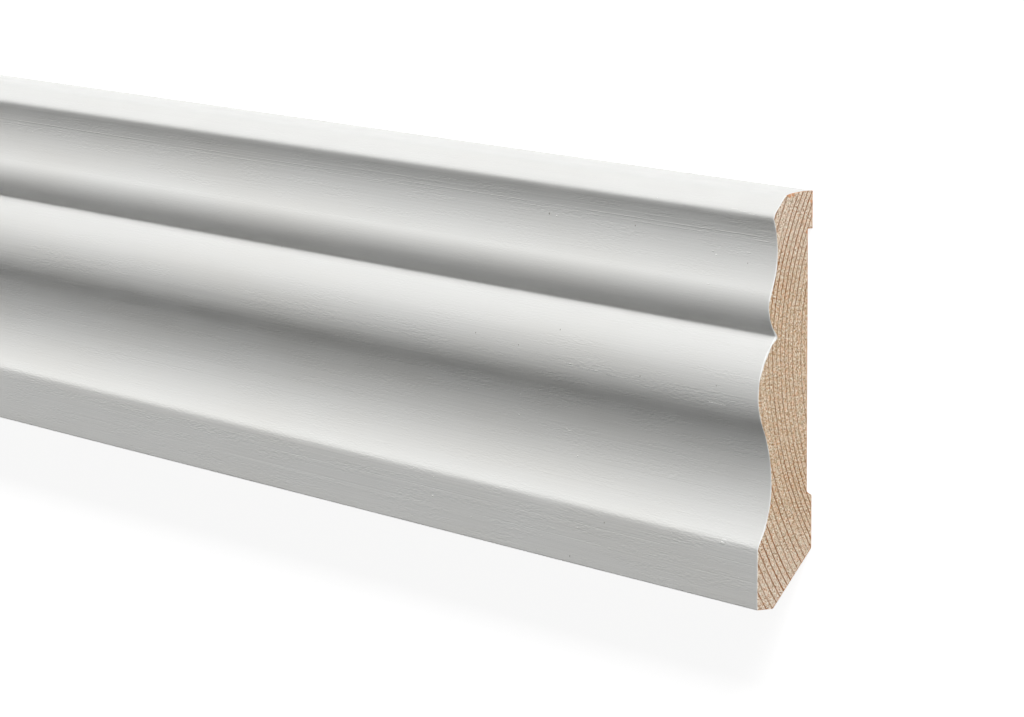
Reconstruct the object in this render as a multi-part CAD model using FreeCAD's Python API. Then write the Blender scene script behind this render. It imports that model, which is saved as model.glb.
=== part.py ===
import FreeCAD, Part
import math
import os

# Skirting board length, one piece of pine planed and moulded on one face.
# It lies on its back, the way stock is stored, with the moulded face up.
# X runs along the length, Y climbs from the floor edge to the top edge, +Z is the moulded face.
# The origin is the middle of the back, level with the two pads that the board lies on.
# Sizes are in millimetres: a rise is measured up the board, a depth back from the front face.

# Stock
length = 2400.0
thickness = 15.0

# Plinth, the flat foot of the face
plinth_rise = 14.4

# Lower cove, the long hollow over the plinth
lower_cove_rise = 14.7       # from the plinth's arris to the deepest line
lower_cove_depth = 3.7
lower_cove_share = 0.65      # hollow part of the S between cove and torus

# Torus, the large round
torus_rise = 19.4            # from the cove's deepest line to the crest
torus_depth = 0.1            # the crest lies a little behind the front face

# Quirk, the sharp groove over the torus
quirk_rise = 13.7            # from the crest of the torus to the bottom of the groove
quirk_depth = 5.0            # below the crest of the torus

# Bead, the small round over the quirk
bead_rise = 7.1              # from the bottom of the quirk to the crest
bead_height = 2.3            # the crest stands this far out of the quirk
bead_share = 0.27            # round part of the S between bead and upper cove

# Upper cove, the shallow hollow under the top edge
upper_cove_rise = 12.7       # from the crest of the bead to the deepest line
upper_cove_depth = 2.25      # below the crest of the bead
upper_lip_rise = 7.3         # from the deepest line to the arris of the chamfer
upper_lip_height = 1.3       # the arris stands this far out of the hollow

# Top edge: a chamfer, then a gentle crown back to a flat
chamfer_rise = 4.9
chamfer_run = 3.45
crown_rise = 0.8
top_flat = 1.6

# Back: two pads with a shallow relief between them, and a bevel that clears the floor joint
upper_pad_width = 8.7
lower_pad_width = 12.2
relief_depth = 1.3
relief_flank = 0.9           # the relief's lower shoulder slopes over this width
bevel_rise = 13.2
floor_edge_width = 4.4

# Eased edges
arris_radius = 0.4
plinth_radius = 1.0
lip_radius = 1.3             # between the upper cove and the chamfer
crown_radius = 1.0

board_height = (plinth_rise + lower_cove_rise + torus_rise + quirk_rise + bead_rise
                + upper_cove_rise + upper_lip_rise + chamfer_rise + crown_rise)

up_the_board = FreeCAD.Vector(0, 1, 0)
through_the_board = FreeCAD.Vector(0, 0, 1)


# A point of the section, from its height above the floor edge and its depth behind the face
def section_point(height, depth):
    return FreeCAD.Vector(-length / 2.0, height - board_height / 2.0, thickness - depth)


def line(start, end):
    return Part.LineSegment(start, end).toShape()


# An arc that leaves crest parallel to level and ends at end.
# Its chord makes half the arc's turn with level, which gives the radius and the middle point.
def crest_arc(crest, end, level=up_the_board):
    chord = end - crest
    along = level * math.copysign(1.0, chord.dot(level))
    across = chord - along * chord.dot(along)
    across.normalize()
    half_turn = math.atan2(chord.dot(across), chord.dot(along))
    quarter_turn = half_turn / 2.0
    radius = chord.Length / (2.0 * math.sin(half_turn))
    reach = 2.0 * radius * math.sin(quarter_turn)
    middle = crest + (along * math.cos(quarter_turn) + across * math.sin(quarter_turn)) * reach
    return Part.Arc(crest, middle, end).toShape()


# Two arcs in an S, level at both ends and tangent where they meet.
# They meet on the straight line between the ends, at the first arc's share of it.
def s_curve(first, second, first_share):
    meeting = first + (second - first) * first_share
    return [crest_arc(first, meeting), crest_arc(second, meeting)]


# The points where the members of the face meet, from the floor edge up
def face_points():
    height = plinth_rise
    points = {"plinth_arris": section_point(height, 0.0)}
    height += lower_cove_rise
    points["lower_cove"] = section_point(height, lower_cove_depth)
    height += torus_rise
    depth = torus_depth
    points["torus"] = section_point(height, depth)
    height += quirk_rise
    depth += quirk_depth
    points["quirk"] = section_point(height, depth)
    height += bead_rise
    depth -= bead_height
    points["bead"] = section_point(height, depth)
    height += upper_cove_rise
    depth += upper_cove_depth
    points["upper_cove"] = section_point(height, depth)
    height += upper_lip_rise
    depth -= upper_lip_height
    points["chamfer_foot"] = section_point(height, depth)
    height += chamfer_rise
    depth += chamfer_run
    points["chamfer_top"] = section_point(height, depth)
    points["crown_end"] = section_point(board_height, thickness - top_flat)
    return points


# The corners of the back, from the top edge down to the floor edge
def back_points():
    relief_top = board_height - upper_pad_width
    pad_top = bevel_rise + lower_pad_width
    relief_level = thickness - relief_depth
    return {
        "top_corner": section_point(board_height, thickness),
        "upper_pad_end": section_point(relief_top, thickness),
        "relief_top": section_point(relief_top, relief_level),
        "relief_foot": section_point(pad_top + relief_flank, relief_level),
        "lower_pad_top": section_point(pad_top, thickness),
        "bevel_top": section_point(bevel_rise, thickness),
        "bevel_foot": section_point(0.0, floor_edge_width),
        "front_corner": section_point(0.0, 0.0),
    }


def face_edges(p, front_corner):
    edges = [line(front_corner, p["plinth_arris"])]
    edges.append(crest_arc(p["lower_cove"], p["plinth_arris"]))
    edges += s_curve(p["lower_cove"], p["torus"], lower_cove_share)
    edges.append(crest_arc(p["torus"], p["quirk"]))
    edges.append(crest_arc(p["bead"], p["quirk"]))
    edges += s_curve(p["bead"], p["upper_cove"], bead_share)
    edges.append(crest_arc(p["upper_cove"], p["chamfer_foot"]))
    edges.append(line(p["chamfer_foot"], p["chamfer_top"]))
    edges.append(crest_arc(p["crown_end"], p["chamfer_top"], through_the_board))
    return edges


def back_edges(corners, crown_end):
    points = [crown_end] + list(corners.values())
    return [line(start, end) for start, end in zip(points, points[1:])]


# The lengthwise edge of the board that runs through one point of its section
def edge_at(board, point):
    for edge in board.Edges:
        ends = [vertex.Point for vertex in edge.Vertexes]
        runs_lengthwise = len(ends) == 2 and abs(ends[0].x - ends[1].x) > length / 2.0
        if runs_lengthwise and edge.distToShape(Part.Vertex(point))[0] < 1e-6:
            return edge
    raise ValueError("no lengthwise edge at %s" % point)


def make_board():
    face = face_points()
    corners = back_points()
    edges = face_edges(face, corners["front_corner"]) + back_edges(corners, face["crown_end"])
    board = Part.Face(Part.Wire(edges)).extrude(FreeCAD.Vector(length, 0, 0))
    eased = [corners["front_corner"], corners["top_corner"]]
    board = board.makeFillet(arris_radius, [edge_at(board, point) for point in eased])
    board = board.makeFillet(plinth_radius, [edge_at(board, face["plinth_arris"])])
    board = board.makeFillet(lip_radius, [edge_at(board, face["chamfer_foot"])])
    return board.makeFillet(crown_radius, [edge_at(board, face["chamfer_top"])])


os.makedirs("parts", exist_ok=True)
board = make_board()
board.exportStep("parts/skirting_board.step")
print("board %.1f x %.1f x %.1f mm, section %.1f mm2"
      % (length, board_height, thickness, board.Volume / length))
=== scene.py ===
import math
import bpy
import numpy as np
from mathutils import Matrix, Vector


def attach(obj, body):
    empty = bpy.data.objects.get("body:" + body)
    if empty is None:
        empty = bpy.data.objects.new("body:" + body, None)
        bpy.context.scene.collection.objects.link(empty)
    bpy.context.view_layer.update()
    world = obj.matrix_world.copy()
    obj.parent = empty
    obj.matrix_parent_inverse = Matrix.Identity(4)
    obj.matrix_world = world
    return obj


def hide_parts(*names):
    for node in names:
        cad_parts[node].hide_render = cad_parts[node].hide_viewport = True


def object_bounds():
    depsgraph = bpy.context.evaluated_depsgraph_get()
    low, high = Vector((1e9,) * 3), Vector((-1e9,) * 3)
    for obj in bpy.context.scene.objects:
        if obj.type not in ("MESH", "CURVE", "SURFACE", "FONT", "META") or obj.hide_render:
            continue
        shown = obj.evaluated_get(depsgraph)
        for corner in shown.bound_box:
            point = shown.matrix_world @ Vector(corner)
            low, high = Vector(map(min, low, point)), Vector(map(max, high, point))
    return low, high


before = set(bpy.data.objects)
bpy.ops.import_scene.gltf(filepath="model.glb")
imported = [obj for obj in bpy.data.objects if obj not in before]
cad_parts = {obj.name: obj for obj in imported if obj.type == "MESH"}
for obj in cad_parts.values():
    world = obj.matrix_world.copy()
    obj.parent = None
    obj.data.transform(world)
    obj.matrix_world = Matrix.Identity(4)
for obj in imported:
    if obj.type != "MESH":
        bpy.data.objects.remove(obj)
cadLow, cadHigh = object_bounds()
mm = 0.001  # the sizes below are in millimetres, Blender's are in metres
boardLength, boardHeight, boardThickness = [(cadHigh[k] - cadLow[k]) / mm for k in range(3)]
print("board in mm:", round(boardLength, 2), round(boardHeight, 2), round(boardThickness, 2))

# The moulded section. Rises go up the board from its floor edge, depths go back from its front face.
moulding = {
    "plinthRise": 14.4,
    "lowerCoveRise": 14.7,
    "lowerCoveDepth": 3.7,
    "lowerCoveShare": 0.65,
    "torusRise": 19.6,
    "torusDepth": 0.1,
    "quirkRise": 13.65,
    "quirkDepth": 4.9,
    "beadRise": 6.7,
    "beadHeight": 2.08,
    "beadShare": 0.27,
    "upperCoveRise": 13.05,
    "upperCoveDepth": 2.31,
    "upperLipRise": 7.3,
    "upperLipHeight": 1.24,
    "chamferRise": 4.9,
    "chamferRun": 3.5,
    "topFlat": 1.6,
    "upperPadWidth": 8.7,
    "lowerPadWidth": 12.2,
    "reliefDepth": 1.3,
    "reliefFlank": 0.9,
    "bevelRise": 13.2,
    "floorEdgeWidth": 4.4,
}

# How the board's mesh is laid out, and how its surface strays from the drawn section
boardMesh = {
    "traceStep": 0.05,      # spacing of the traced outline before it is softened
    "softening": 0.3,       # half width of the stretch that each outline point is averaged over
    "arrisSoftening": 1.3,  # the same at the plinth's arris and the top of the chamfer, which are rounder
    "quirkFill": 0.5,       # how far the quirk is rounded in the same way, where the paint gathered
    "crowding": 40,         # how much closer the outline's points stand where it turns
    "crowdingReach": 15,    # traced points over which that turning is averaged
    "rows": 150,            # points up the face, and up the back
    "columns": 16,          # points across the top and floor edges and the sawn ends
    "endStep": 0.3,         # spacing of the stations beside the seen end
    "endGrowth": 0.035,     # how fast that spacing opens out along the board
    "farEnd": 4.0,          # how much coarser the stations are at the other end
    "widestStep": 26.0,
    "stationSamples": 60001,  # places along the board at which the spacing is added up
    "endGap": 0.24,         # the sawn ends stop this far inside the length, which leaves room for fibres
    "skinGap": 0.1,         # the paint lies this far inside the section, which leaves room for nibs
    "topGap": 0.02,         # the same at the top edge
    "topGapReach": (6, 1),  # between these distances under the top edge one gap turns into the other
    "backGap": 0.01,        # and on the bare back
    "waviness": 0.05,       # how far the planed surface dips
    "waveLengths": (900, 420, 260, 150),
    "wavesRound": (2, 9),   # whole waves round the section, from the first number to one under the second
    "wavePhases": (0, 6.28),
    "arrisWander": 0.09,    # how far the arrises of the face wander
    "wanderLengths": (61, 37, 23, 14),
    "wanderSpread": 0.8,    # how wide that wander is, in square millimetres
    "filmWidth": 0.3,       # the cut edge of the paint round the sawn end, where it faced up while it dried
    "thinFilm": 0.1,        # the same where it faced down, and on the chamfer
    "chamferFilm": (88.6, 90.2),  # heights between which it grows thin
    "pool": (62.4, 1.1, 0.24),  # the paint that gathered in the quirk: height, reach and how much more
    "facingUp": 0.35,       # slope from which the paint has its full width
    "bareWidth": 0.25,      # the broken edge of the wood where there is no paint
    "bareFrom": 94.1,       # height above which the paint is worn off the sawn edge
    "edgeEase": 0.6,        # how far the paint falls back there, as a share of its width
    "bareEase": 0.12,
    "raggedness": 0.35,     # how much the width of that broken edge varies
    "seed": 7,
}


# An arc that leaves crest parallel to one axis of the section and ends at end. With the chord's angle to
# that axis as half the turn, radius = chord / (2 sin(half turn)), and the points are
# crest + radius (sin t, 1 - cos t) for t from 0 to the turn. Axis 0 is height, axis 1 is depth.
def crestArc(crest, end, axis=0, count=60):
    crest = np.array(crest)
    chord = np.array(end) - crest
    halfTurn = math.atan2(abs(chord[1 - axis]), abs(chord[axis]))
    radius = math.hypot(*chord) / (2 * math.sin(halfTurn))
    t = np.linspace(0, 2 * halfTurn, count)
    points = np.empty((count, 2))
    points[:, axis] = crest[axis] + math.copysign(radius, chord[axis]) * np.sin(t)
    points[:, 1 - axis] = crest[1 - axis] + math.copysign(radius, chord[1 - axis]) * (1 - np.cos(t))
    return points


# Two arcs in an S between two level points, tangent where they meet on the line between them
def sCurve(first, second, firstShare):
    meeting = np.array(first) + (np.array(second) - np.array(first)) * firstShare
    return np.vstack([crestArc(first, meeting), crestArc(second, meeting)[::-1]])


# The closed outline as (height, depth), from the floor corner up the face and down the back,
# with its four corners, the three arrises of the face and the bottom of its quirk
def sectionOutline(m):
    cove = (m["plinthRise"] + m["lowerCoveRise"], m["lowerCoveDepth"])
    torus = (cove[0] + m["torusRise"], m["torusDepth"])
    quirk = (torus[0] + m["quirkRise"], torus[1] + m["quirkDepth"])
    bead = (quirk[0] + m["beadRise"], quirk[1] - m["beadHeight"])
    upperCove = (bead[0] + m["upperCoveRise"], bead[1] + m["upperCoveDepth"])
    chamferFoot = (upperCove[0] + m["upperLipRise"], upperCove[1] - m["upperLipHeight"])
    chamferTop = (chamferFoot[0] + m["chamferRise"], chamferFoot[1] + m["chamferRun"])
    crownEnd = (boardHeight, boardThickness - m["topFlat"])
    reliefTop = boardHeight - m["upperPadWidth"]
    padTop = m["bevelRise"] + m["lowerPadWidth"]
    relief = boardThickness - m["reliefDepth"]
    plinthArris = (m["plinthRise"], 0.0)
    face = np.vstack([
        [(0.0, 0.0)],
        crestArc(cove, plinthArris)[::-1],
        sCurve(cove, torus, m["lowerCoveShare"]),
        crestArc(torus, quirk),
        crestArc(bead, quirk)[::-1],
        sCurve(bead, upperCove, m["beadShare"]),
        crestArc(upperCove, chamferFoot),
        crestArc(crownEnd, chamferTop, axis=1)[::-1],
    ])
    back = np.array([
        (boardHeight, boardThickness),
        (reliefTop, boardThickness),
        (reliefTop, relief),
        (padTop + m["reliefFlank"], relief),
        (padTop, boardThickness),
        (m["bevelRise"], boardThickness),
        (0.0, m["floorEdgeWidth"]),
    ])
    corners = [(0.0, 0.0), crownEnd, tuple(back[0]), tuple(back[-1])]
    return np.vstack([face, back]), corners, [plinthArris, chamferFoot, chamferTop], quirk


# The outline traced in even steps, then each point averaged with its neighbours,
# which rounds the arrises and fills the quirk a little, as planing and paint do
def softenedTrace(outline, roundArrises, quirk, mesh):
    closed = np.vstack([outline, outline[:1]])
    along = np.concatenate([[0], np.cumsum(np.hypot(*np.diff(closed, axis=0).T))])
    count = int(along[-1] / mesh["traceStep"])
    places = np.arange(count) * along[-1] / count
    trace = np.stack([np.interp(places, along, closed[:, k]) for k in (0, 1)], axis=1)

    def averaged(halfWidth):
        reach = int(halfWidth / mesh["traceStep"])
        weights = np.hanning(2 * reach + 3)[1:-1]
        weights = weights / weights.sum()
        padded = np.vstack([trace[-reach:], trace, trace[:reach]])
        return np.stack([np.convolve(padded[:, k], weights, "valid") for k in (0, 1)], axis=1)

    near = np.zeros(count)
    for place, share in [(arris, 1.0) for arris in roundArrises] + [(quirk, mesh["quirkFill"])]:
        near += share * np.exp(-((trace - place) ** 2).sum(axis=1) / mesh["arrisSoftening"] ** 2)
    near = near[:, None]
    return averaged(mesh["softening"]) * (1 - near) + averaged(mesh["arrisSoftening"]) * near


# One side of the outline resampled in count points, closer together where it turns sharply
def sampledSide(trace, start, stop, count, mesh):
    size = len(trace)
    side = trace[np.arange(start, stop + 1 if stop > start else stop + size + 1) % size]
    step = np.diff(side, axis=0)
    turning = np.abs(np.gradient(np.unwrap(np.arctan2(step[:, 1], step[:, 0]))))
    window = np.hanning(mesh["crowdingReach"])
    turning = np.convolve(turning, window / window.sum(), "same")
    places = np.concatenate([[0], np.cumsum(1 + mesh["crowding"] * turning)])
    wanted = np.linspace(0, places[-1], count)
    return np.stack([np.interp(wanted, places, side[:, k]) for k in (0, 1)], axis=1)


# Stations along the board: the spacing grows from each sawn end until it reaches its widest
def lengthStations(mesh):
    x = np.linspace(0, boardLength - 2 * mesh["endGap"], mesh["stationSamples"])
    nearSpacing = mesh["endStep"] + mesh["endGrowth"] * x
    farSpacing = mesh["farEnd"] * (mesh["endStep"] + mesh["endGrowth"] * (x[-1] - x))
    spacing = np.minimum(np.minimum(nearSpacing, farSpacing), mesh["widestStep"])
    places = np.concatenate([[0], np.cumsum(np.diff(x) / spacing[1:])])
    count = int(round(places[-1])) + 1
    return np.interp(np.linspace(0, places[-1], count), places, x) + mesh["endGap"]


# A Coons patch: the two long sides blended across, plus the two short sides blended along,
# less the blend of the four corners. It fills the sawn end between its four sides.
def filledSection(front, back, floorEdge, topEdge):
    u = np.linspace(0, 1, len(front))[:, None, None]
    v = np.linspace(0, 1, len(floorEdge))[None, :, None]
    across = front[:, None] * (1 - v) + back[:, None] * v
    along = floorEdge[None] * (1 - u) + topEdge[None] * u
    low = front[0] * (1 - v) + back[0] * v
    high = front[-1] * (1 - v) + back[-1] * v
    return across + along - (low * (1 - u) + high * u)


# Slow waves over the stations and round the section: the mean of a few sines, between -1 and 1, each
# with a whole number of waves round the section and a phase of its own
def slowWaves(stations, turn, wavelengths, mesh, rng):
    waves = np.zeros((len(stations), len(turn)))
    for wavelength in wavelengths:
        lengthwise = 2 * np.pi * stations[:, None] / wavelength
        around = rng.integers(*mesh["wavesRound"]) * turn
        waves += np.sin(lengthwise + around + rng.uniform(*mesh["wavePhases"]))
    return waves / len(wavelengths)


# The skin as (height, depth) for each station and each place round the section, where inward is the
# outline's normal: outline + inward (gap + waviness (1 + waves) / 2 + wander near an arris)
def makeSkin(m, mesh):
    outline, corners, arrises, quirk = sectionOutline(m)
    trace = softenedTrace(outline, arrises, quirk, mesh)
    starts = [int(np.argmin(((trace - corner) ** 2).sum(axis=1))) for corner in corners]
    sides = zip(starts, starts[1:] + starts[:1], [mesh["rows"], mesh["columns"]] * 2)
    loop = np.vstack([sampledSide(trace, start, stop, count, mesh)[:-1] for start, stop, count in sides])
    stations = lengthStations(mesh)
    tangent = np.roll(loop, -1, axis=0) - np.roll(loop, 1, axis=0)
    inward = np.stack([-tangent[:, 1], tangent[:, 0]], axis=1) / np.hypot(*tangent.T)[:, None]

    rng = np.random.default_rng(mesh["seed"])
    place = np.arange(len(loop))
    bareStart = mesh["rows"] + mesh["columns"] - 2
    bare = (place > bareStart) & (place < bareStart + mesh["rows"] - 1)
    turn = 2 * np.pi * place / len(loop)
    underTop = boardHeight - np.array(mesh["topGapReach"])
    gap = np.interp(loop[:, 0], underTop, (mesh["skinGap"], mesh["topGap"]))
    waves = 1 + slowWaves(stations, turn, mesh["waveLengths"], mesh, rng)
    wander = 1 + slowWaves(stations, 0 * turn, mesh["wanderLengths"], mesh, rng)
    away = [((loop - arris) ** 2).sum(axis=1) for arris in arrises]
    nearArris = sum(np.exp(-distance / mesh["wanderSpread"]) for distance in away)
    dip = np.where(bare, mesh["backGap"], gap) + mesh["waviness"] * waves / 2
    dip = dip + mesh["arrisWander"] * nearArris * wander / 2
    return loop + inward * dip[..., None], inward, stations, bare


# The grid of place numbers round the section that borders an end: its first column is the face,
# its last the back, its first row the floor edge and its last row the top edge
def borderGrid(rows, columns, around):
    grid = np.full((rows, columns), -1)
    place = np.arange(around)
    faceEnd, topEnd, backEnd = rows - 1, rows + columns - 2, 2 * rows + columns - 3
    grid[:, 0] = place[:rows]
    grid[-1, :] = place[faceEnd:topEnd + 1]
    grid[::-1, -1] = place[topEnd:backEnd + 1]
    grid[0, ::-1] = np.append(place[backEnd:], 0)
    return grid


# The broken edge round a sawn end: how wide it is at each place, how far it falls back, and whether it
# is wood. Paint is widest where the face looks up, and all of it varies with seeded noise, smoothed over
# five places.
def sawnEdge(mesh, loop, inward, bare):
    rng = np.random.default_rng(mesh["seed"] + 1)
    ragged = np.convolve(rng.uniform(-1, 1, len(loop) + 4), (1, 2, 3, 2, 1), "valid") / 4
    underneath = np.arange(len(loop)) > 2 * mesh["rows"] + mesh["columns"] - 4
    wood = bare | (loop[:, 0] > mesh["bareFrom"]) | underneath
    up = np.clip(-inward[:, 0] / mesh["facingUp"], 0, 1)
    up = up * np.interp(loop[:, 0], mesh["chamferFilm"], (1, 0))
    film = mesh["thinFilm"] + (mesh["filmWidth"] - mesh["thinFilm"]) * up
    middle, reach, more = mesh["pool"]
    film = film + more * np.exp(-((loop[:, 0] - middle) / reach) ** 2)
    width = np.where(wood, mesh["bareWidth"], film) * (1 + mesh["raggedness"] * ragged)
    return width, width * np.where(wood, mesh["bareEase"], mesh["edgeEase"]), wood


# The board's three finishes, by their place in its list of materials
painted, sawn, planed = 0, 1, 2


# The faces between the neighbours of a grid of point numbers
def gridFaces(ids):
    return np.stack([ids[:-1, :-1], ids[:-1, 1:], ids[1:, 1:], ids[1:, :-1]], axis=-1).reshape(-1, 4)


# The board as one closed mesh: the skin, then at each end a narrow ring for the broken edge
# and a filled section inside it
def makeBoard(mesh, skin, inward, stations, bare):
    rings, around = skin.shape[:2]
    grid = borderGrid(mesh["rows"], mesh["columns"], around)
    border = grid >= 0
    ringPoints = np.arange(rings * around).reshape(rings, around)
    quads = [gridFaces(np.hstack([ringPoints, ringPoints[:, :1]]))]
    section = [skin.reshape(-1, 2)]
    width, eased, woodEdge = sawnEdge(mesh, skin[0], inward, bare)
    along = [np.repeat(stations, around)]
    along[0][:around] += eased
    along[0][-around:] -= eased
    finish = [np.tile(np.where(bare | np.roll(bare, -1), planed, painted), rings - 1)]
    total = rings * around
    outlines = []
    for ring, outward in ((0, 1), (rings - 1, -1)):
        inner = skin[ring] + inward * width[:, None]
        filled = filledSection(inner[grid[:, 0]], inner[grid[:, -1]], inner[grid[0]], inner[grid[-1]])
        rim = total + np.arange(around)
        ids = np.where(border, total + grid, 0)
        ids[~border] = total + around + np.arange((~border).sum())
        section += [inner, filled[~border]]
        count = around + (~border).sum()
        along.append(np.full(count, stations[ring]))
        outer = ringPoints[ring]
        rimQuads = np.stack([outer, rim, np.roll(rim, -1), np.roll(outer, -1)], axis=-1)
        fill = gridFaces(ids)
        quads += [rimQuads[:, ::outward], fill[:, ::outward]]
        finish += [np.where(woodEdge | np.roll(woodEdge, -1), sawn, painted), np.full(len(fill), sawn)]
        outlines += [(ring * around, around), (total, around)]
        total += count
    section = np.vstack(section)
    points = np.stack([
        boardLength / 2 - np.concatenate(along),
        section[:, 0] - boardHeight / 2,
        boardThickness - section[:, 1],
    ], axis=1)
    return points * mm, np.vstack(quads), np.concatenate(finish), section, outlines


def addObject(name, data):
    made = bpy.data.objects.new(name, data)
    bpy.context.scene.collection.objects.link(made)
    return made


# A mesh object from arrays. Its volume is the sum of a . (b x c) / 6 over its triangles,
# and its faces are turned round if that comes out negative.
def meshObject(name, points, quads, materials, finish=None):
    a, b, c, d = [points[quads[:, k]] for k in range(4)]
    volume = (a * np.cross(b, c)).sum() + (a * np.cross(c, d)).sum()
    if volume < 0:
        quads = quads[:, ::-1]
    mesh = bpy.data.meshes.new(name)
    mesh.from_pydata(points.tolist(), [], quads.tolist())
    mesh.polygons.foreach_set("use_smooth", np.ones(len(quads), bool))
    for material in materials:
        mesh.materials.append(material)
    if finish is not None:
        mesh.polygons.foreach_set("material_index", finish.astype(np.int32))
    volume = round(abs(volume) / 6 * 1e6, 3)
    print(name, len(points), "points", len(quads), "faces, volume", volume, "cm3")
    return addObject(name, mesh)


# Per point values read by the materials. arris is exp(-(distance / reach)^2) to the plinth's arris.
# grain is how much the grain shows through the paint. The next field is painted shade: darker paint at the
# floor corner, and on the torus's upper flank, the chamfer and the crown, which turn most towards the
# light.
# The one after it is painted light: whiter paint under the bead, where it lies in shade over the quirk.
# Each is given as (height up the face, value).
# bareDistance is how far a point of the back lies from the paint, in millimetres, and broken is 1 on
# the outer line of a sawn end.
boardFields = {
    "arrisReach": 0.8,
    "grain": [(0, 0.7), (8, 0.7), (9.5, 1.0), (13.5, 1.0), (15.5, 0.3), (22, 0.4), (30, 0.7), (37, 0.9),
              (46, 0.95), (53, 0.75), (58, 0.35), (66, 0.6), (73, 0.4), (78, 0.55), (83, 0.9), (87, 1.1),
              (89, 0.25), (95, 0.15)],
    # painted shade: darker paint at the floor corner, and on the torus's upper flank, the chamfer and the
    # crown, which turn most towards the light
    "paintedShade": [(0, 1), (0.4, 0), (55.5, 0), (58, 0.2), (60, 0.45), (62, 0.65), (62.35, 0), (88.7, 0),
             (89.8, 0.5), (93.2, 0.56), (94.3, 1)],
    # painted light: whiter paint under the bead, where it lies in shade over the quirk
    "paintedLight": [(62.7, 0), (63.2, 1), (64.4, 1), (66.2, 0)],
}


def addBoardFields(board, section, isBack, isOuter, fields):
    corners, arrises = sectionOutline(moulding)[1:3]
    toArris, toTop, toFloor = [np.hypot(*(section - place).T) for place in (arrises[0], *corners[2:])]
    values = {"arris": np.exp(-((toArris / fields["arrisReach"]) ** 2))}
    for name in ("grain", "paintedShade", "paintedLight"):
        values[name] = np.interp(section[:, 0], *zip(*fields[name]))
    values["bareDistance"] = np.where(isBack, np.minimum(toTop, toFloor), 0)
    values["broken"] = isOuter * 1.0
    for name, value in values.items():
        field = board.data.attributes.new(name, "FLOAT", "POINT")
        field.data.foreach_set("value", value.astype(np.float32))


# The outlines of the two sawn ends are kept sharp: every edge inside one ring of points is on an outline
def sharpenEnds(board, rings):
    edges = np.zeros(len(board.data.edges) * 2, np.int32)
    board.data.edges.foreach_get("vertices", edges)
    edges = edges.reshape(-1, 2)
    sharp = np.zeros(len(edges), bool)
    for first, count in rings:
        sharp |= ((edges >= first) & (edges < first + count)).all(axis=1)
    board.data.attributes.new("sharp_edge", "BOOLEAN", "EDGE").data.foreach_set("value", sharp)


# Node helpers: addNode sets a node's own settings, and gives each named input a value or a link
def addNode(tree, kind, inputs=None, **settings):
    node = tree.nodes.new("ShaderNode" + kind)
    for key, value in settings.items():
        setattr(node, key, value)
    for key, value in (inputs or {}).items():
        if isinstance(value, bpy.types.NodeSocket):
            tree.links.new(value, node.inputs[key])
        else:
            node.inputs[key].default_value = value
    return node


def calc(tree, operation, *values, clamp=False):
    return addNode(tree, "Math", dict(enumerate(values)), operation=operation, use_clamp=clamp).outputs[0]


def vectorCalc(tree, operation, *values):
    return addNode(tree, "VectorMath", dict(enumerate(values)), operation=operation).outputs[0]


def distanceTo(tree, vector, place):
    return addNode(tree, "VectorMath", {0: vector, 1: place}, operation="DISTANCE").outputs["Value"]


def inMillimetres(tree, vector):
    return vectorCalc(tree, "MULTIPLY", vector, (1 / mm, 1 / mm, 1 / mm))


# Where the scale is three numbers, the noise has one along each axis
def noise(tree, vector, scale, detail=2.0, roughness=0.5, output="Fac"):
    if isinstance(scale, tuple):
        vector, scale = vectorCalc(tree, "MULTIPLY", vector, scale), 1.0
    inputs = {"Vector": vector, "Scale": scale, "Detail": detail, "Roughness": roughness}
    return addNode(tree, "TexNoise", inputs).outputs[output]


# A noise along a single number
def lineNoise(tree, value, detail):
    inputs = {"W": value, "Scale": 1.0, "Detail": detail}
    return addNode(tree, "TexNoise", inputs, noise_dimensions="1D").outputs["Fac"]


# Start plus the sum of value x weight over the pairs
def weightedSum(tree, pairs, start=0.0):
    for value, weight in pairs:
        start = calc(tree, "MULTIPLY_ADD", value, weight, start)
    return start


# Between low and high the result goes from start to end along a smooth S
def ramp(tree, value, low, high, start=0.0, end=1.0):
    inputs = {"Value": value, "From Min": low, "From Max": high, "To Min": start, "To Max": end}
    return addNode(tree, "MapRange", inputs, interpolation_type="SMOOTHSTEP").outputs[0]


def mixColours(tree, share, first, second):
    return addNode(tree, "Mix", {0: share, 6: first, 7: second}, data_type="RGBA").outputs[2]


# Colours laid over one another, each by its own share
def laidOver(tree, colour, layers):
    for share, layer in layers:
        colour = mixColours(tree, share, colour, layer)
    return colour


# A colour as a screen shows it, 0 to 255, in Blender's linear values
def screenColour(red, green, blue):
    return (*[((c / 255 + 0.055) / 1.055) ** 2.4 for c in (red, green, blue)], 1.0)


# A node group that reads a vector and the named numbers, which have defaults, and puts out named values
def newGroup(name, numbers, outputs):
    group = bpy.data.node_groups.new(name, "ShaderNodeTree")
    group.interface.new_socket(name="Vector", in_out="INPUT", socket_type="NodeSocketVector")
    for key, default in numbers.items():
        socket = group.interface.new_socket(name=key, in_out="INPUT", socket_type="NodeSocketFloat")
        socket.default_value = default
    for key in outputs:
        group.interface.new_socket(name=key, in_out="OUTPUT", socket_type="NodeSocketFloat")
    return group, group.nodes.new("NodeGroupInput").outputs, group.nodes.new("NodeGroupOutput").inputs


def putOut(group, result, values):
    for key, value in values.items():
        group.links.new(value, result[key])
    return group


# A slow shift across the board, up to reach each way: (noise - 0.5) x 2 x reach
def slowShift(tree, place, length, width, reach):
    shift = noise(tree, place, (1 / length, 1 / width, 1 / width), detail=1.0, output="Color")
    shift = vectorCalc(tree, "SUBTRACT", shift, (0.5, 0.5, 0.5))
    return vectorCalc(tree, "MULTIPLY", shift, (0, 2 * reach, 2 * reach))


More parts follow.
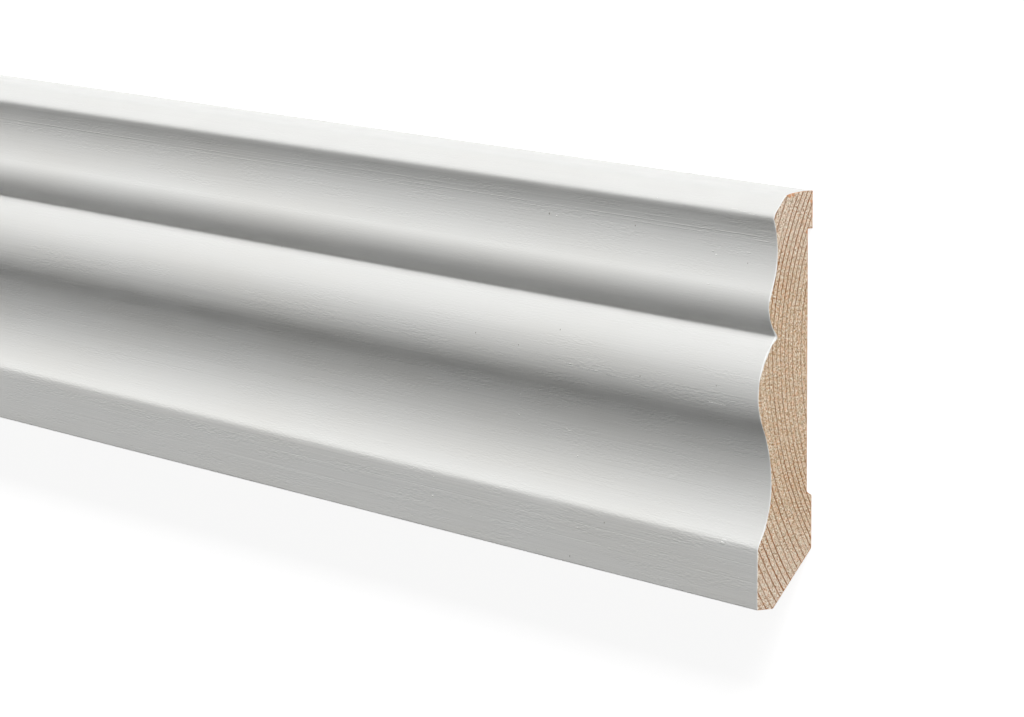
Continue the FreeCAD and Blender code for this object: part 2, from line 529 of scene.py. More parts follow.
# The tree that the board was sawn from: its growth rings are shells round a pith line behind the board
growth = {
    "pithY": 10.5,          # the pith line, across the board from its middle
    "pithZ": -75.0,         # and below its back
    "drift": 3.0,           # how far the rings wander from straight
    "driftLength": 420.0,   # over such distances along the board
    "driftWidth": 90.0,     # and across it
    "wobble": 0.14,         # small unevenness of each ring
    "wobbleLength": 50.0,
    "wobbleWidth": 7.0,
    "ringWidth": 1.1,       # of the rings nearer the pith
    "outerWidth": 1.42,     # and of those beyond outerFrom
    "outerFrom": 88.0,
    "unevenness": 0.3,      # how much the rings' widths differ, in rings
    "unevenRate": 0.22,     # how fast that changes, per millimetre
    "lateStart": 0.7,       # share of a ring where its dark summer band begins to show
    "lateFull": 0.86,
    "lateEnd": 0.96,
    "lateStrength": (0.5, 1.1),  # each ring's band has a strength between these
}


# Ring number = distance to the pith line / ring width + slow noise, with wider rings beyond outerFrom.
# Late is the dark last part of each ring, a smooth rise that ends sharply, times a strength drawn for
# that ring. Radius is the distance to the pith line, and Along is the turn about it x Radius.
def growthGroup(g):
    group, source, result = newGroup("growthRings", {}, ["Late", "Radius", "Along"])
    place = inMillimetres(group, source["Vector"])
    drift = slowShift(group, place, g["driftLength"], g["driftWidth"], g["drift"])
    drifted = vectorCalc(group, "ADD", place, drift)
    fromPith = vectorCalc(group, "SUBTRACT", drifted, (0, g["pithY"], g["pithZ"]))
    across = vectorCalc(group, "MULTIPLY", fromPith, (0, 1, 1))
    radius = addNode(group, "VectorMath", {0: across}, operation="LENGTH").outputs["Value"]
    wobble = noise(group, place, (1 / g["wobbleLength"], 1 / g["wobbleWidth"], 1 / g["wobbleWidth"]))
    radius = calc(group, "MULTIPLY_ADD", calc(group, "SUBTRACT", wobble, 0.5), 2 * g["wobble"], radius)
    uneven = lineNoise(group, calc(group, "MULTIPLY", radius, g["unevenRate"]), detail=1.0)
    beyond = calc(group, "MAXIMUM", calc(group, "SUBTRACT", radius, g["outerFrom"]), 0.0)
    rings = calc(group, "DIVIDE", radius, g["ringWidth"])
    rings = calc(group, "MULTIPLY_ADD", beyond, 1 / g["outerWidth"] - 1 / g["ringWidth"], rings)
    rings = calc(group, "MULTIPLY_ADD", calc(group, "SUBTRACT", uneven, 0.5), 2 * g["unevenness"], rings)
    share = calc(group, "FRACT", rings)
    rise = ramp(group, share, g["lateStart"], g["lateFull"])
    fall = ramp(group, share, g["lateEnd"], 1.0, 1.0, 0.0)
    drawn = addNode(group, "TexWhiteNoise", {"W": calc(group, "FLOOR", rings)}, noise_dimensions="1D")
    strength = ramp(group, drawn.outputs["Value"], 0, 1, *g["lateStrength"])
    late = calc(group, "MULTIPLY", calc(group, "MULTIPLY", rise, fall), strength)
    sides = addNode(group, "SeparateXYZ", {0: across}).outputs
    along = calc(group, "MULTIPLY", calc(group, "ARCTAN2", sides["Y"], sides["Z"]), radius)
    return putOut(group, result, {"Late": late, "Radius": radius, "Along": along})


# Relief along the board. Streaks and bands are noises drawn out along X, and bumps are short ones that
# show in patches, which are a noise drawn out too. Each is given as width and length in millimetres,
# the detail of its noise, and a shift that sets it apart from the others.
lengthRelief = {
    "bend": 0.25,           # how far all of it wanders from straight, in millimetres
    "bendLength": 160.0,
    "bendWidth": 50.0,
    "streaks": (0.42, 130.0, 1.0, 0.0),
    "bands": (3.4, 300.0, 1.0, 17.0),
    "bumps": (0.34, 1.8, 1.0, 31.0),
    "patches": (2.2, 24.0, 2.0, 53.0),
    "patchEdge": (0.38, 0.62),  # values of that last noise between which the bumps come up
}


def lengthGroup(r):
    group, source, result = newGroup("lengthRelief", {}, ["Streaks", "Bands", "Bumps"])
    place = inMillimetres(group, source["Vector"])
    bend = slowShift(group, place, r["bendLength"], r["bendWidth"], r["bend"])
    bent = vectorCalc(group, "ADD", place, bend)

    def drawnOut(width, length, detail, shift):
        scaled = vectorCalc(group, "MULTIPLY", bent, (1 / length, 1 / width, 1 / width))
        shifted = vectorCalc(group, "ADD", scaled, (shift, shift, shift))
        return noise(group, shifted, scale=1.0, detail=detail)

    streaks, bands, bumps, patches = [drawnOut(*r[key]) for key in ("streaks", "bands", "bumps", "patches")]
    shown = ramp(group, patches, *r["patchEdge"])
    bumps = calc(group, "MULTIPLY", calc(group, "SUBTRACT", bumps, 0.5), shown)
    return putOut(group, result, {"Streaks": streaks, "Bands": bands, "Bumps": bumps})


# Scattered dots: a cell of the pattern holds one where its random value is under Share. A dot fades out
# between two shares of its radius.
dotEdge = (0.6, 1.1)


def dotsGroup():
    numbers = {"Cell": 10.0, "Radius": 0.2, "Share": 0.1}
    group, source, result = newGroup("scatteredDots", numbers, ["Dots"])
    scale = calc(group, "DIVIDE", 1.0, source["Cell"])
    cells = addNode(group, "TexVoronoi", {"Vector": inMillimetres(group, source["Vector"]), "Scale": scale})
    distance = calc(group, "MULTIPLY", cells.outputs["Distance"], source["Cell"])
    dots = ramp(group, calc(group, "DIVIDE", distance, source["Radius"]), *dotEdge, 1.0, 0.0)
    random = addNode(group, "SeparateColor", {0: cells.outputs["Color"]}).outputs[0]
    chosen = calc(group, "LESS_THAN", random, source["Share"])
    return putOut(group, result, {"Dots": calc(group, "MULTIPLY", dots, chosen)})


growthRings = growthGroup(growth)
reliefLines = lengthGroup(lengthRelief)
scatteredDots = dotsGroup()


# A material with its node tree, its shader and its object coordinates
def newMaterial(name, roughness, specular):
    material = bpy.data.materials.new(name)
    material.use_nodes = True
    tree = material.node_tree
    shader = tree.nodes["Principled BSDF"]
    shader.inputs["Roughness"].default_value = roughness
    shader.inputs["Specular IOR Level"].default_value = specular
    return material, tree, shader, tree.nodes.new("ShaderNodeTexCoord").outputs["Object"]


def placeGroup(tree, group, place, **numbers):
    return addNode(tree, "Group", {"Vector": place, **numbers}, node_tree=group).outputs


def readField(tree, name):
    return addNode(tree, "Attribute", attribute_name=name).outputs["Fac"]


# The height is in units of depth, and depth in millimetres
def addRelief(tree, shader, height, depth):
    bump = addNode(tree, "Bump", {"Height": height, "Distance": depth * mm})
    tree.links.new(bump.outputs["Normal"], shader.inputs["Normal"])


# In the finishes below, a noise is its scale, its detail and sometimes its roughness. The scale is per
# metre, with three numbers where it differs along the board, up it and through it. An edge is a ramp on a
# noise: its low and high value, and where given the result at each.
paintFinish = {
    "colour": (0.83, 0.832, 0.812, 1),
    "warmer": (0.815, 0.812, 0.785, 1),
    "cloudNoise": ((12, 60, 60), 3.0),
    "cloudEdge": (0.35, 0.7),
    # painted shade: the darker paint colour laid where the face turns most towards the light
    "paintedShade": (0.622, 0.624, 0.612, 1),
    # painted light: the whiter paint colour laid under the bead, in the shade over the quirk
    "paintedLight": (0.97, 0.972, 0.95, 1),
    # painted highlight: near-white paint on the cut edge round each sawn end, where that edge catches the
    # light
    "cutEdgeHighlight": (0.98, 0.985, 0.98, 1),
    "cutEdgeHighlightShare": 0.7,
    "dust": screenColour(120, 112, 102),
    "dustShare": 0.8,
    "dustDots": {"Cell": 9.0, "Radius": 0.16, "Share": 0.05},
    "roughness": 0.5,
    "glossSpread": 0.06,    # how far the roughness strays from that
    "glossNoise": ((60, 400, 400), 2.0),
    "glossEdge": (0.3, 0.7),
    "specular": 0.3,
    "relief": 0.09,         # depth of the relief that shows through, in millimetres
    "stippleNoise": (2300.0, 1.0),
    "raggedNoise": ((500, 1500, 1500), 3.0),
    # how much of that depth each kind of relief takes
    "shares": {"streaks": 0.24, "rings": 0.06, "bands": 0.35, "bumps": 0.75, "fibres": 0.3,
               "stipple": 0.13, "arris": 0.7},
    # long raised fibres and planing lines: height up the face, strength, half width. A strength below 0
    # makes a groove.
    "fibres": [(84.35, 1.0, 0.16), (85.6, 0.55, 0.13), (83.45, 0.6, 0.14), (88.1, 0.4, 0.14),
               (10.1, -0.5, 0.16), (8.4, 0.3, 0.13), (6.2, -0.35, 0.16), (30.8, -0.25, 0.2),
               (24.8, -0.2, 0.25), (52.6, 0.22, 0.16), (42.7, -0.3, 0.4), (39.4, -0.2, 0.25),
               (35.2, 0.3, 0.16)],
    "fibreWander": 0.16,
    "fibreLength": 45.0,
    "fibreShifts": (7.3, 90.0),  # keep each wander apart from the next fibre's and from its own fading
    "fibreDetails": (3.0, 2.0),  # of the noises for that wander and fading
    "fadeEdge": (0.3, 0.6, 0.15, 1),
    "fibreCore": 0.2,       # share of the half width at full strength
    # dark specks: distance from the seen end, height up the face, radius
    "specks": [(97.3, 82.0, 0.34), (59.3, 82.4, 0.26), (64.7, 11.8, 0.24), (80.0, 1.7, 0.24),
               (86.0, 55.4, 0.26), (123.3, 50.9, 0.24), (103.3, 50.0, 0.24), (17.3, 49.6, 0.22),
               (49.3, 48.3, 0.24)],
    "speckCore": 0.4,
}


# Long thin fibres that the paint did not hide: each is the places whose height, with a slow 1D noise
# added, is within its half width of the fibre's own, and another slow noise makes it come and go
def raisedFibres(tree, place, p):
    position = addNode(tree, "SeparateXYZ", {0: inMillimetres(tree, place)}).outputs
    apart, fadeShift = p["fibreShifts"]
    wanderDetail, fadeDetail = p["fibreDetails"]
    total = 0.0
    for k, (centre, strength, halfWidth) in enumerate(p["fibres"]):
        slow = calc(tree, "MULTIPLY_ADD", position["X"], 1 / p["fibreLength"], apart * k)
        wander = lineNoise(tree, slow, wanderDetail)
        fade = lineNoise(tree, calc(tree, "ADD", slow, fadeShift), fadeDetail)
        height = calc(tree, "MULTIPLY_ADD", wander, p["fibreWander"], position["Y"])
        away = calc(tree, "SUBTRACT", height, centre - boardHeight / 2 + p["fibreWander"] / 2)
        away = calc(tree, "ABSOLUTE", away)
        fibre = ramp(tree, away, p["fibreCore"] * halfWidth, halfWidth, strength, 0)
        total = calc(tree, "MULTIPLY_ADD", fibre, ramp(tree, fade, *p["fadeEdge"]), total)
    return total


# The dark specks: each is the places whose distance to it across the face is within its radius
def placedSpecks(tree, place, p):
    flat = vectorCalc(tree, "MULTIPLY", inMillimetres(tree, place), (1, 1, 0))
    total = 0.0
    for along, height, radius in p["specks"]:
        away = distanceTo(tree, flat, (boardLength / 2 - along, height - boardHeight / 2, 0))
        total = calc(tree, "MAXIMUM", ramp(tree, away, p["speckCore"] * radius, radius, 1, 0), total)
    return total


def paintMaterial(p):
    material, tree, shader, place = newMaterial("satinWhitePaint", p["roughness"], p["specular"])
    lines = placeGroup(tree, reliefLines, place)
    rings = placeGroup(tree, growthRings, place)
    dust = placeGroup(tree, scatteredDots, place, **p["dustDots"])

    specks = calc(tree, "MAXIMUM", dust["Dots"], placedSpecks(tree, place, p))
    colour = laidOver(tree, p["colour"], [
        (ramp(tree, noise(tree, place, *p["cloudNoise"]), *p["cloudEdge"]), p["warmer"]),
        # painted shade where the face turns most towards the light
        (readField(tree, "paintedShade"), p["paintedShade"]),
        # painted light under the bead, which lies in shade over the quirk
        (readField(tree, "paintedLight"), p["paintedLight"]),
        # painted highlight on the cut edge round each sawn end
        (calc(tree, "MULTIPLY", readField(tree, "broken"), p["cutEdgeHighlightShare"]), p["cutEdgeHighlight"]),
        (calc(tree, "MULTIPLY", specks, p["dustShare"]), p["dust"]),
    ])
    tree.links.new(colour, shader.inputs["Base Color"])

    low, high = p["roughness"] - p["glossSpread"], p["roughness"] + p["glossSpread"]
    gloss = ramp(tree, noise(tree, place, *p["glossNoise"]), *p["glossEdge"], low, high)
    tree.links.new(gloss, shader.inputs["Roughness"])

    share = p["shares"]
    ridges = weightedSum(tree, [(lines["Streaks"], share["streaks"]), (rings["Late"], share["rings"]),
                                (lines["Bands"], share["bands"]), (lines["Bumps"], share["bumps"])])
    ridges = calc(tree, "MULTIPLY", ridges, readField(tree, "grain"))
    stipple = noise(tree, place, *p["stippleNoise"])
    arris = calc(tree, "MULTIPLY", readField(tree, "arris"), noise(tree, place, *p["raggedNoise"]))
    height = weightedSum(tree, [(raisedFibres(tree, place, p), share["fibres"]),
                                (stipple, share["stipple"]), (arris, share["arris"])], ridges)
    addRelief(tree, shader, height, p["relief"])
    return material


endGrain = {
    "early": screenColour(222, 190, 152),
    "earlyPale": screenColour(236, 213, 190),
    "paleHeights": (20.0, 44.0),  # it turns paler between these heights, above and below the middle
    "rosy": screenColour(242, 186, 140),
    "straw": screenColour(206, 188, 152),
    "tintNoise": (900.0, 4.0, 0.75),
    "strawEdge": (0.36, 0.5, 0.6, 0),
    "rosyEdge": (0.5, 0.64, 0, 0.55),
    "late": screenColour(114, 66, 20),
    "lateRed": screenColour(172, 106, 42),
    "redNoise": (300.0, 2.0),
    "faintHeights": ((-20, -6), (14, 30)),  # the dark bands grow faint and strong again between these
    "faintStrength": 0.7,
    "patchNoise": (420.0, 2.0),  # and they are patchy
    "patchEdge": (0.25, 0.6, 0.75, 1),
    "fleckWidth": 0.24,     # across the rings, in millimetres
    "fleckLength": 0.4,     # and along them
    "fleckNoise": {"Scale": 1.0, "Detail": 2.0, "Roughness": 0.7, "Distortion": 0.7},
    "bright": screenColour(255, 248, 234),
    "brightEdge": (0.48, 0.63, 0, 1.0),
    "pore": screenColour(134, 88, 44),
    "poreEdge": (0.33, 0.49, 0.9, 0),
    "poreDots": {"Cell": 0.9, "Radius": 0.2, "Share": 0.12},
    "poreShare": 0.6,
    "canal": screenColour(62, 42, 26),
    "canalDots": {"Cell": 0.8, "Radius": 0.2, "Share": 0.3},
    # spots: height above the board's middle, height above its back, radius, in millimetres
    "pinhole": (0.0, 10.4, 0.24),
    "pinholeShare": 0.9,
    "tornPatches": [(46.45, 6.25, 0.65), (46.7, 5.4, 0.6), (45.0, 0.35, 0.5), (38.2, 1.5, 0.6)],
    "tornShare": 1.6,
    "spotNoise": (1400.0, 1.0),  # of their ragged outline
    "spotFade": (0.9, 1.5),  # a spot fades out between these shares of its radius
    "torn": screenColour(222, 158, 112),
    "tornNoise": (700.0, 2.0),
    "tornEdge": (0.35, 0.6, 0.35, 1.0),
    "roughness": 0.75,
    "specular": 0.2,
    "relief": 0.03,
    "sawNoise": ((1, 900, 120), 2.0),
    "sawMarks": 0.5,        # height of the saw marks and the dark bands beside the flecks, which have 1
    "ringHeight": 0.5,
}


def endMaterial(e):
    material, tree, shader, place = newMaterial("sawnEndGrain", e["roughness"], e["specular"])
    rings = placeGroup(tree, growthRings, place)
    pores = placeGroup(tree, scatteredDots, place, **e["poreDots"])
    canals = placeGroup(tree, scatteredDots, place, **e["canalDots"])
    height = addNode(tree, "SeparateXYZ", {0: inMillimetres(tree, place)}).outputs["Y"]

    tint = noise(tree, place, *e["tintNoise"])
    cell = {"X": calc(tree, "DIVIDE", rings["Radius"], e["fleckWidth"]),
            "Y": calc(tree, "DIVIDE", rings["Along"], e["fleckLength"])}
    cell = addNode(tree, "CombineXYZ", cell).outputs[0]
    flecks = addNode(tree, "TexNoise", {"Vector": cell, **e["fleckNoise"]}).outputs["Fac"]

    faintFrom, faintTo = e["faintHeights"]
    faint = calc(tree, "MULTIPLY", ramp(tree, height, *faintFrom), ramp(tree, height, *faintTo, 1, 0))
    strength = ramp(tree, faint, 0, 1, 1.0, e["faintStrength"])
    patchy = ramp(tree, noise(tree, place, *e["patchNoise"]), *e["patchEdge"])
    dark = calc(tree, "MULTIPLY", calc(tree, "MULTIPLY", rings["Late"], strength), patchy)
    late = mixColours(tree, noise(tree, place, *e["redNoise"]), e["late"], e["lateRed"])

    def spot(across, up, radius, strength):
        flat = vectorCalc(tree, "MULTIPLY", place, (0, 1, 1))
        away = distanceTo(tree, flat, (0, across * mm, up * mm))
        ragged = calc(tree, "MULTIPLY_ADD", noise(tree, place, *e["spotNoise"]), radius * mm, away)
        return ramp(tree, ragged, *[share * radius * mm for share in e["spotFade"]], strength, 0)

    stains = [(calc(tree, "MULTIPLY", spot(*patch, e["tornShare"]), flecks, clamp=True), e["torn"])
              for patch in e["tornPatches"]]
    torn = ramp(tree, noise(tree, place, *e["tornNoise"]), *e["tornEdge"])
    colour = laidOver(tree, e["early"], [
        (ramp(tree, calc(tree, "ABSOLUTE", height), *e["paleHeights"]), e["earlyPale"]),
        (ramp(tree, tint, *e["strawEdge"]), e["straw"]),
        (ramp(tree, tint, *e["rosyEdge"]), e["rosy"]),
        (ramp(tree, flecks, *e["brightEdge"]), e["bright"]),
        (ramp(tree, flecks, *e["poreEdge"]), e["pore"]),
        (dark, late),
        (calc(tree, "MULTIPLY", pores["Dots"], e["poreShare"]), e["pore"]),
        (calc(tree, "MULTIPLY", canals["Dots"], rings["Late"]), e["canal"]),
        *stains,
        (spot(*e["pinhole"], e["pinholeShare"]), e["canal"]),
        (calc(tree, "MULTIPLY", readField(tree, "broken"), torn), e["torn"]),
    ])
    tree.links.new(colour, shader.inputs["Base Color"])

    relief = weightedSum(tree, [(rings["Late"], e["ringHeight"]),
                                (noise(tree, place, *e["sawNoise"]), e["sawMarks"])], flecks)
    addRelief(tree, shader, relief, e["relief"])
    return material


planedBack = {
    "early": screenColour(226, 198, 158),
    "earlyWarm": screenColour(216, 184, 140),
    "cloudNoise": ((6, 60, 60), 3.0),
    "cloudEdge": (0.3, 0.7),
    "late": screenColour(188, 142, 92),
    "lateShare": 0.75,
    "streakEdge": (0.45, 0.75, 0, 0.3),
    "bandEdge": (0.5, 0.75, 0, 0.35),
    "spray": screenColour(232, 231, 226),  # paint that drifted round from the edges
    "sprayReach": 2.6,      # how far it came, in millimetres
    "sprayNoise": ((160, 420, 420), 4.0, 0.6),
    "sprayCloud": (0.3, 0.75),
    "sprayEdge": (-0.1, 0.35),
    "roughness": 0.62,
    "specular": 0.25,
    "relief": 0.02,
    "ripple": 1.9,          # spacing of the planing ripples, in millimetres
    "rippleHeight": 0.06,
    "ringHeight": 0.4,
    "streakHeight": 0.7,
}


def backMaterial(b):
    material, tree, shader, place = newMaterial("planedPine", b["roughness"], b["specular"])
    rings = placeGroup(tree, growthRings, place)
    lines = placeGroup(tree, reliefLines, place)

    cloud = ramp(tree, noise(tree, place, *b["sprayNoise"]), *b["sprayCloud"])
    reach = calc(tree, "MULTIPLY", cloud, b["sprayReach"])
    spray = calc(tree, "SUBTRACT", reach, readField(tree, "bareDistance"))
    colour = laidOver(tree, b["early"], [
        (ramp(tree, noise(tree, place, *b["cloudNoise"]), *b["cloudEdge"]), b["earlyWarm"]),
        (calc(tree, "MULTIPLY", rings["Late"], b["lateShare"]), b["late"]),
        (ramp(tree, lines["Streaks"], *b["streakEdge"]), b["late"]),
        (ramp(tree, lines["Bands"], *b["bandEdge"]), b["late"]),
        (ramp(tree, spray, *b["sprayEdge"]), b["spray"]),
    ])
    tree.links.new(colour, shader.inputs["Base Color"])

    along = addNode(tree, "SeparateXYZ", {0: place}).outputs["X"]
    ripples = calc(tree, "SINE", calc(tree, "MULTIPLY", along, 2 * math.pi / mm / b["ripple"]))
    relief = weightedSum(tree, [(ripples, b["rippleHeight"]), (rings["Late"], b["ringHeight"]),
                                (lines["Streaks"], b["streakHeight"])])
    addRelief(tree, shader, relief, b["relief"])
    return material


paint = paintMaterial(paintFinish)
endWood = endMaterial(endGrain)
backWood = backMaterial(planedBack)
print("materials made:", ", ".join(m.name for m in (paint, endWood, backWood)))

skin, inward, stations, bare = makeSkin(moulding, boardMesh)
points, quads, finish, section, outlines = makeBoard(boardMesh, skin, inward, stations, bare)
board = meshObject("skirtingBoardLength", points, quads, [paint, endWood, backWood], finish)
isBack, isOuter = np.zeros((2, len(points)), bool)
isBack[:skin.shape[0] * skin.shape[1]] = np.tile(bare, skin.shape[0])
for first, count in outlines[::2]:
    isOuter[first:first + count] = True
addBoardFields(board, section, isBack, isOuter, boardFields)
sharpenEnds(board, outlines)


# The places of small things on the board are given as distance from the seen end and height up the face.
# The skin is read there: the station gives the ring, the height gives the place round the section.
def onFace(along, height):
    ring = int(np.searchsorted(stations, along).clip(0, len(stations) - 1))
    rows = boardMesh["rows"]
    heights, depths = skin[ring, :rows].T
    depth = np.interp(height, heights, depths)
    normal = -np.array([np.interp(height, heights, inward[:rows, k]) for k in (0, 1)])
    point = (boardLength / 2 - along, height - boardHeight / 2, boardThickness - depth)
    return np.array(point), np.array([0, normal[0], -normal[1]]) / math.hypot(*normal)


# The points and faces of a cube with count faces along each edge, pushed out to a ball of radius 1:
# each coordinate is multiplied by sqrt(1 - (b + c) / 2 + b c / 3), with b and c the squares of the others
def roundedCube(count):
    steps = np.linspace(-1, 1, count + 1)
    u, v = np.meshgrid(steps, steps, indexing="ij")
    sides = []
    for axis in range(3):
        for sign in (-1, 1):
            side = np.empty((count + 1, count + 1, 3))
            side[..., axis] = sign
            side[..., (axis + 1) % 3] = u if sign > 0 else v
            side[..., (axis + 2) % 3] = v if sign > 0 else u
            sides.append(side)
    points = np.array(sides).reshape(-1, 3)
    ids = np.arange(len(points)).reshape(6, count + 1, count + 1)
    quads = np.stack([ids[:, :-1, :-1], ids[:, 1:, :-1], ids[:, 1:, 1:], ids[:, :-1, 1:]], axis=-1)
    merged, first = np.unique(np.round(points, 6), axis=0, return_inverse=True)
    b, c = merged[:, [1, 2, 0]] ** 2, merged[:, [2, 0, 1]] ** 2
    return merged * np.sqrt(1 - (b + c) / 2 + b * c / 3), first.reshape(-1)[quads.reshape(-1, 4)]


# Lumps in one mesh, kept inside the board's box. Each point is
# centre + ball . (along, across, normal) x its three sizes x (1 + unevenness)
def lumpMesh(name, lumps, faceCount, unevenness, material, rng):
    ball, quads = roundedCube(faceCount)
    centres, normals, sizes = [np.array(part) for part in zip(*lumps)]
    alongAxis = np.tile([1.0, 0, 0], (len(lumps), 1))
    acrossAxis = np.cross(normals, alongAxis)
    frames = np.stack([alongAxis, acrossAxis, normals], axis=1)
    swell = 1 + unevenness * rng.standard_normal((len(lumps), len(ball), 1))
    local = ball * sizes[:, None] * swell
    points = centres[:, None] + np.einsum("nvk,nkc->nvc", local, frames)
    limit = np.array([boardLength, boardHeight, boardThickness])
    points = np.clip(points, -limit / 2 * (1, 1, 0), limit / (2, 2, 1))
    allQuads = (quads + np.arange(len(lumps))[:, None, None] * len(ball)).reshape(-1, 4)
    return meshObject(name, points.reshape(-1, 3) * mm, allQuads, [material])


# Nibs in the paint. The first places are where the photograph shows them: distance from the seen end,
# height up the face, and how long, how wide and how high each one is.
nibs = {
    "seen": [
        (16.5, 89.95, 2.0, 0.12, 0.07), (12.5, 89.65, 2.4, 0.14, 0.08), (9.0, 89.35, 1.6, 0.12, 0.07),
        (125.3, 5.2, 0.32, 0.24, 0.08), (81.9, 25.3, 0.3, 0.3, 0.14), (131.4, 35.9, 0.3, 0.26, 0.1),
        (106.5, 37.5, 0.28, 0.22, 0.1), (108.6, 32.1, 0.34, 0.26, 0.12), (153.0, 13.9, 0.3, 0.24, 0.12),
        (143.2, 12.9, 0.3, 0.24, 0.1), (143.8, 8.1, 0.34, 0.22, 0.09), (85.5, 30.9, 1.5, 0.14, 0.05),
        (87.4, 31.3, 1.2, 0.12, 0.05), (25.7, 72.0, 1.1, 0.16, 0.05), (14.6, 13.6, 1.7, 0.4, 0.05),
        (13.9, 14.3, 1.4, 0.45, 0.05), (80.0, 47.9, 6.0, 0.12, 0.035), (70.0, 47.5, 6.0, 0.11, 0.035),
        (60.0, 47.1, 5.0, 0.11, 0.035), (17.5, 45.4, 5.0, 0.12, 0.035), (94.0, 81.7, 0.32, 0.3, 0.1),
        (143.0, 86.6, 0.36, 0.34, 0.14), (26.2, 79.4, 0.8, 0.2, 0.04), (24.8, 78.7, 0.5, 0.18, 0.04),
        (11.8, 80.3, 1.6, 0.14, 0.04), (16.2, 79.9, 1.0, 0.14, 0.04), (57.5, 0.3, 0.8, 0.2, 0.1),
        (48.5, 89.8, 0.2, 0.2, 0.2),
    ],
    # more of them over the whole face, on the plinth's arris and on the floor edge: how many, and the
    # heights they lie between
    "scattered": [(240, 1, 94), (120, 13.7, 14.7), (120, 0.1, 0.5)],
    "size": (0.06, 0.17),   # width of those
    "smallness": 3,         # the higher, the more of them are small
    "nearness": 1.6,        # the higher, the more of them lie near the seen end
    "stretch": (2, 0.98),   # they start this far from that end and cover this share of the length
    "lengths": (1, 1.9),    # their length and their height, as shares of the width
    "heights": (0.15, 0.4),
    "sunk": 0.5,            # share of its height that a nib is sunk in the paint
    "faces": 2,
    "unevenness": 0.1,
    "seed": 11,
}


def nibPlaces(n, rng):
    places = list(n["seen"])
    smallest, largest = n["size"]
    start, share = n["stretch"]
    for count, lowest, highest in n["scattered"]:
        for k in range(count):
            width = smallest + (largest - smallest) * rng.random() ** n["smallness"]
            along = rng.random() ** n["nearness"] * boardLength * share + start
            height = rng.uniform(lowest, highest)
            long, high = [width * rng.uniform(*n[key]) for key in ("lengths", "heights")]
            places.append((along, height, long, width, high))
    return places


rng = np.random.default_rng(nibs["seed"])
lumps = []
for along, height, *sizes in nibPlaces(nibs, rng):
    point, normal = onFace(along, height)
    lumps.append((point - normal * nibs["sunk"] * sizes[2], normal, sizes))
nibMesh = lumpMesh("paintNibs", lumps, nibs["faces"], nibs["unevenness"], paint, rng)

# Stage
stage = {
    "reach": 40.0,              # half the floor's side, in metres
    "drop": 0.1,                # the floor lies this far under the board, in millimetres
    "floorColour": (0.3, 0.3, 0.3, 1),
    "seenFloorColour": (0.45, 0.45, 0.45, 1),  # what the camera sees, which keeps the shadow
    "seenFloorGlow": 0.92,
    "worldLight": 0.03,         # light of the world on the board, beside the lamps
}


# 1 for what the camera sees, straight, in gloss or through glass, and 0 for the light on the board
def seenRays(tree):
    path = tree.nodes.new("ShaderNodeLightPath")
    seen = calc(tree, "MAXIMUM", path.outputs["Is Camera Ray"], path.outputs["Is Glossy Ray"])
    return calc(tree, "MAXIMUM", seen, path.outputs["Is Transmission Ray"])


floorMesh = bpy.data.meshes.new("floor")
reach, level = stage["reach"], -stage["drop"] * mm
corners = [(-reach, -reach, level), (reach, -reach, level), (reach, reach, level), (-reach, reach, level)]
floorMesh.from_pydata(corners, [], [(0, 1, 2, 3)])
floor = addObject("floor", floorMesh)

floorMaterial = bpy.data.materials.new("paleFloor")
floorMaterial.use_nodes = True
tree = floorMaterial.node_tree
tree.nodes.clear()
diffuse = addNode(tree, "BsdfDiffuse", {"Color": stage["floorColour"]})
seenDiffuse = addNode(tree, "BsdfDiffuse", {"Color": stage["seenFloorColour"]})
glow = addNode(tree, "Emission", {"Strength": stage["seenFloorGlow"]})
seenFloor = addNode(tree, "AddShader", {0: seenDiffuse.outputs[0], 1: glow.outputs[0]})
both = addNode(tree, "MixShader", {0: seenRays(tree), 1: diffuse.outputs[0], 2: seenFloor.outputs[0]})
addNode(tree, "OutputMaterial", {"Surface": both.outputs[0]})
floorMesh.materials.append(floorMaterial)

world = bpy.data.worlds.new("studio")
bpy.context.scene.world = world
world.use_nodes = True
tree = world.node_tree
levels = {"Value": seenRays(tree), "To Min": stage["worldLight"], "To Max": 1.0}
strength = addNode(tree, "MapRange", levels)
background = tree.nodes["Background"]
background.inputs["Color"].default_value = (1, 1, 1, 1)
tree.links.new(strength.outputs[0], background.inputs["Strength"])

# Three lamps. The key is large and soft, low over the top edge, given as the direction towards it. The
# strip runs along the board on the same side and lights the upper half of the face a little more. The
# far one is small and stands beyond the far end, for that end alone.
keyLight = {"towards": (0.8, 0.9397, 0.342), "energy": 2.56, "angle": 24.0}
stripLight = {"along": 1.4, "length": 4.0, "width": 0.3, "distance": 0.9, "turn": 62.0, "power": 14.2}
farLight = {"place": (-2.1, 0.15, 0.15), "size": 0.3, "power": 2.4}


def addLamp(name, kind, energy):
    data = bpy.data.lights.new(name, kind)
    data.energy = energy
    return addObject(name, data), data


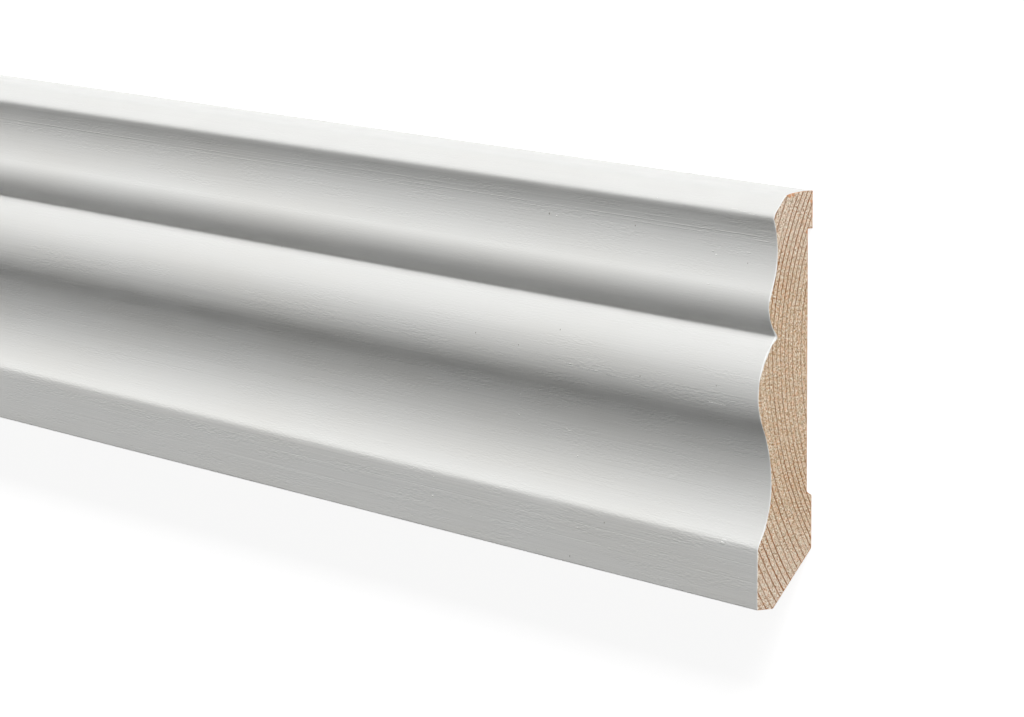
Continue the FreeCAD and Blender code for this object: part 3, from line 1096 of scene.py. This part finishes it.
lamp, lampData = addLamp("key", "SUN", keyLight["energy"])
lampData.angle = math.radians(keyLight["angle"])
lamp.rotation_mode = "QUATERNION"
lamp.rotation_quaternion = Vector(keyLight["towards"]).to_track_quat("Z", "Y")

lamp, lampData = addLamp("strip", "AREA", stripLight["power"])
lampData.shape = "RECTANGLE"
lampData.size = stripLight["length"]
lampData.size_y = stripLight["width"]
turn = math.radians(stripLight["turn"])
outwards = Vector((0, math.sin(turn), math.cos(turn)))
sideways = Vector((1, 0, 0))
facing = Matrix((sideways, outwards.cross(sideways), outwards)).transposed().to_4x4()
lampPlace = outwards * stripLight["distance"] + sideways * stripLight["along"]
lamp.matrix_world = Matrix.Translation(lampPlace) @ facing
lamp.visible_camera = False

lamp, lampData = addLamp("far", "AREA", farLight["power"])
lampData.size = farLight["size"]
fromEnd = Vector(farLight["place"]) - Vector((-boardLength * mm / 2, 0, 0))
facing = fromEnd.to_track_quat("Z", "Y").to_matrix().to_4x4()
lamp.matrix_world = Matrix.Translation(farLight["place"]) @ facing
lamp.visible_camera = False

# Camera: a long lens on the face, over the seen end
view = {
    "place": (2.26075, 0.17262, 0.73218),
    "looksAt": (1.08196, -0.00288, 0.0075),
    "roll": -0.144,
    "lens": 201.19,
    "sensor": 36,
    "clip": (0.05, 200),
}


# Right, up and back of a camera at place that looks at looksAt with the board's Y upright in its picture,
# then turned about its line of sight by roll
def cameraTurn(v):
    back = (Vector(v["place"]) - Vector(v["looksAt"])).normalized()
    level = Vector((0, 1, 0)).cross(back).normalized()
    upright = back.cross(level)
    roll = math.radians(v["roll"])
    right = level * math.cos(roll) + upright * math.sin(roll)
    return Matrix((right, back.cross(right), back)).transposed()


cameraData = bpy.data.cameras.new("camera")
cameraData.sensor_width = view["sensor"]
cameraData.lens = view["lens"]
cameraData.clip_start, cameraData.clip_end = view["clip"]
camera = addObject("camera", cameraData)
camera.matrix_world = Matrix.Translation(view["place"]) @ cameraTurn(view).to_4x4()
bpy.context.scene.camera = camera
bpy.context.scene.view_settings.view_transform = "Standard"
print("floor, world, lamps and camera set")

for piece in (board, nibMesh):
    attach(piece, "root")
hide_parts("skirting_board")
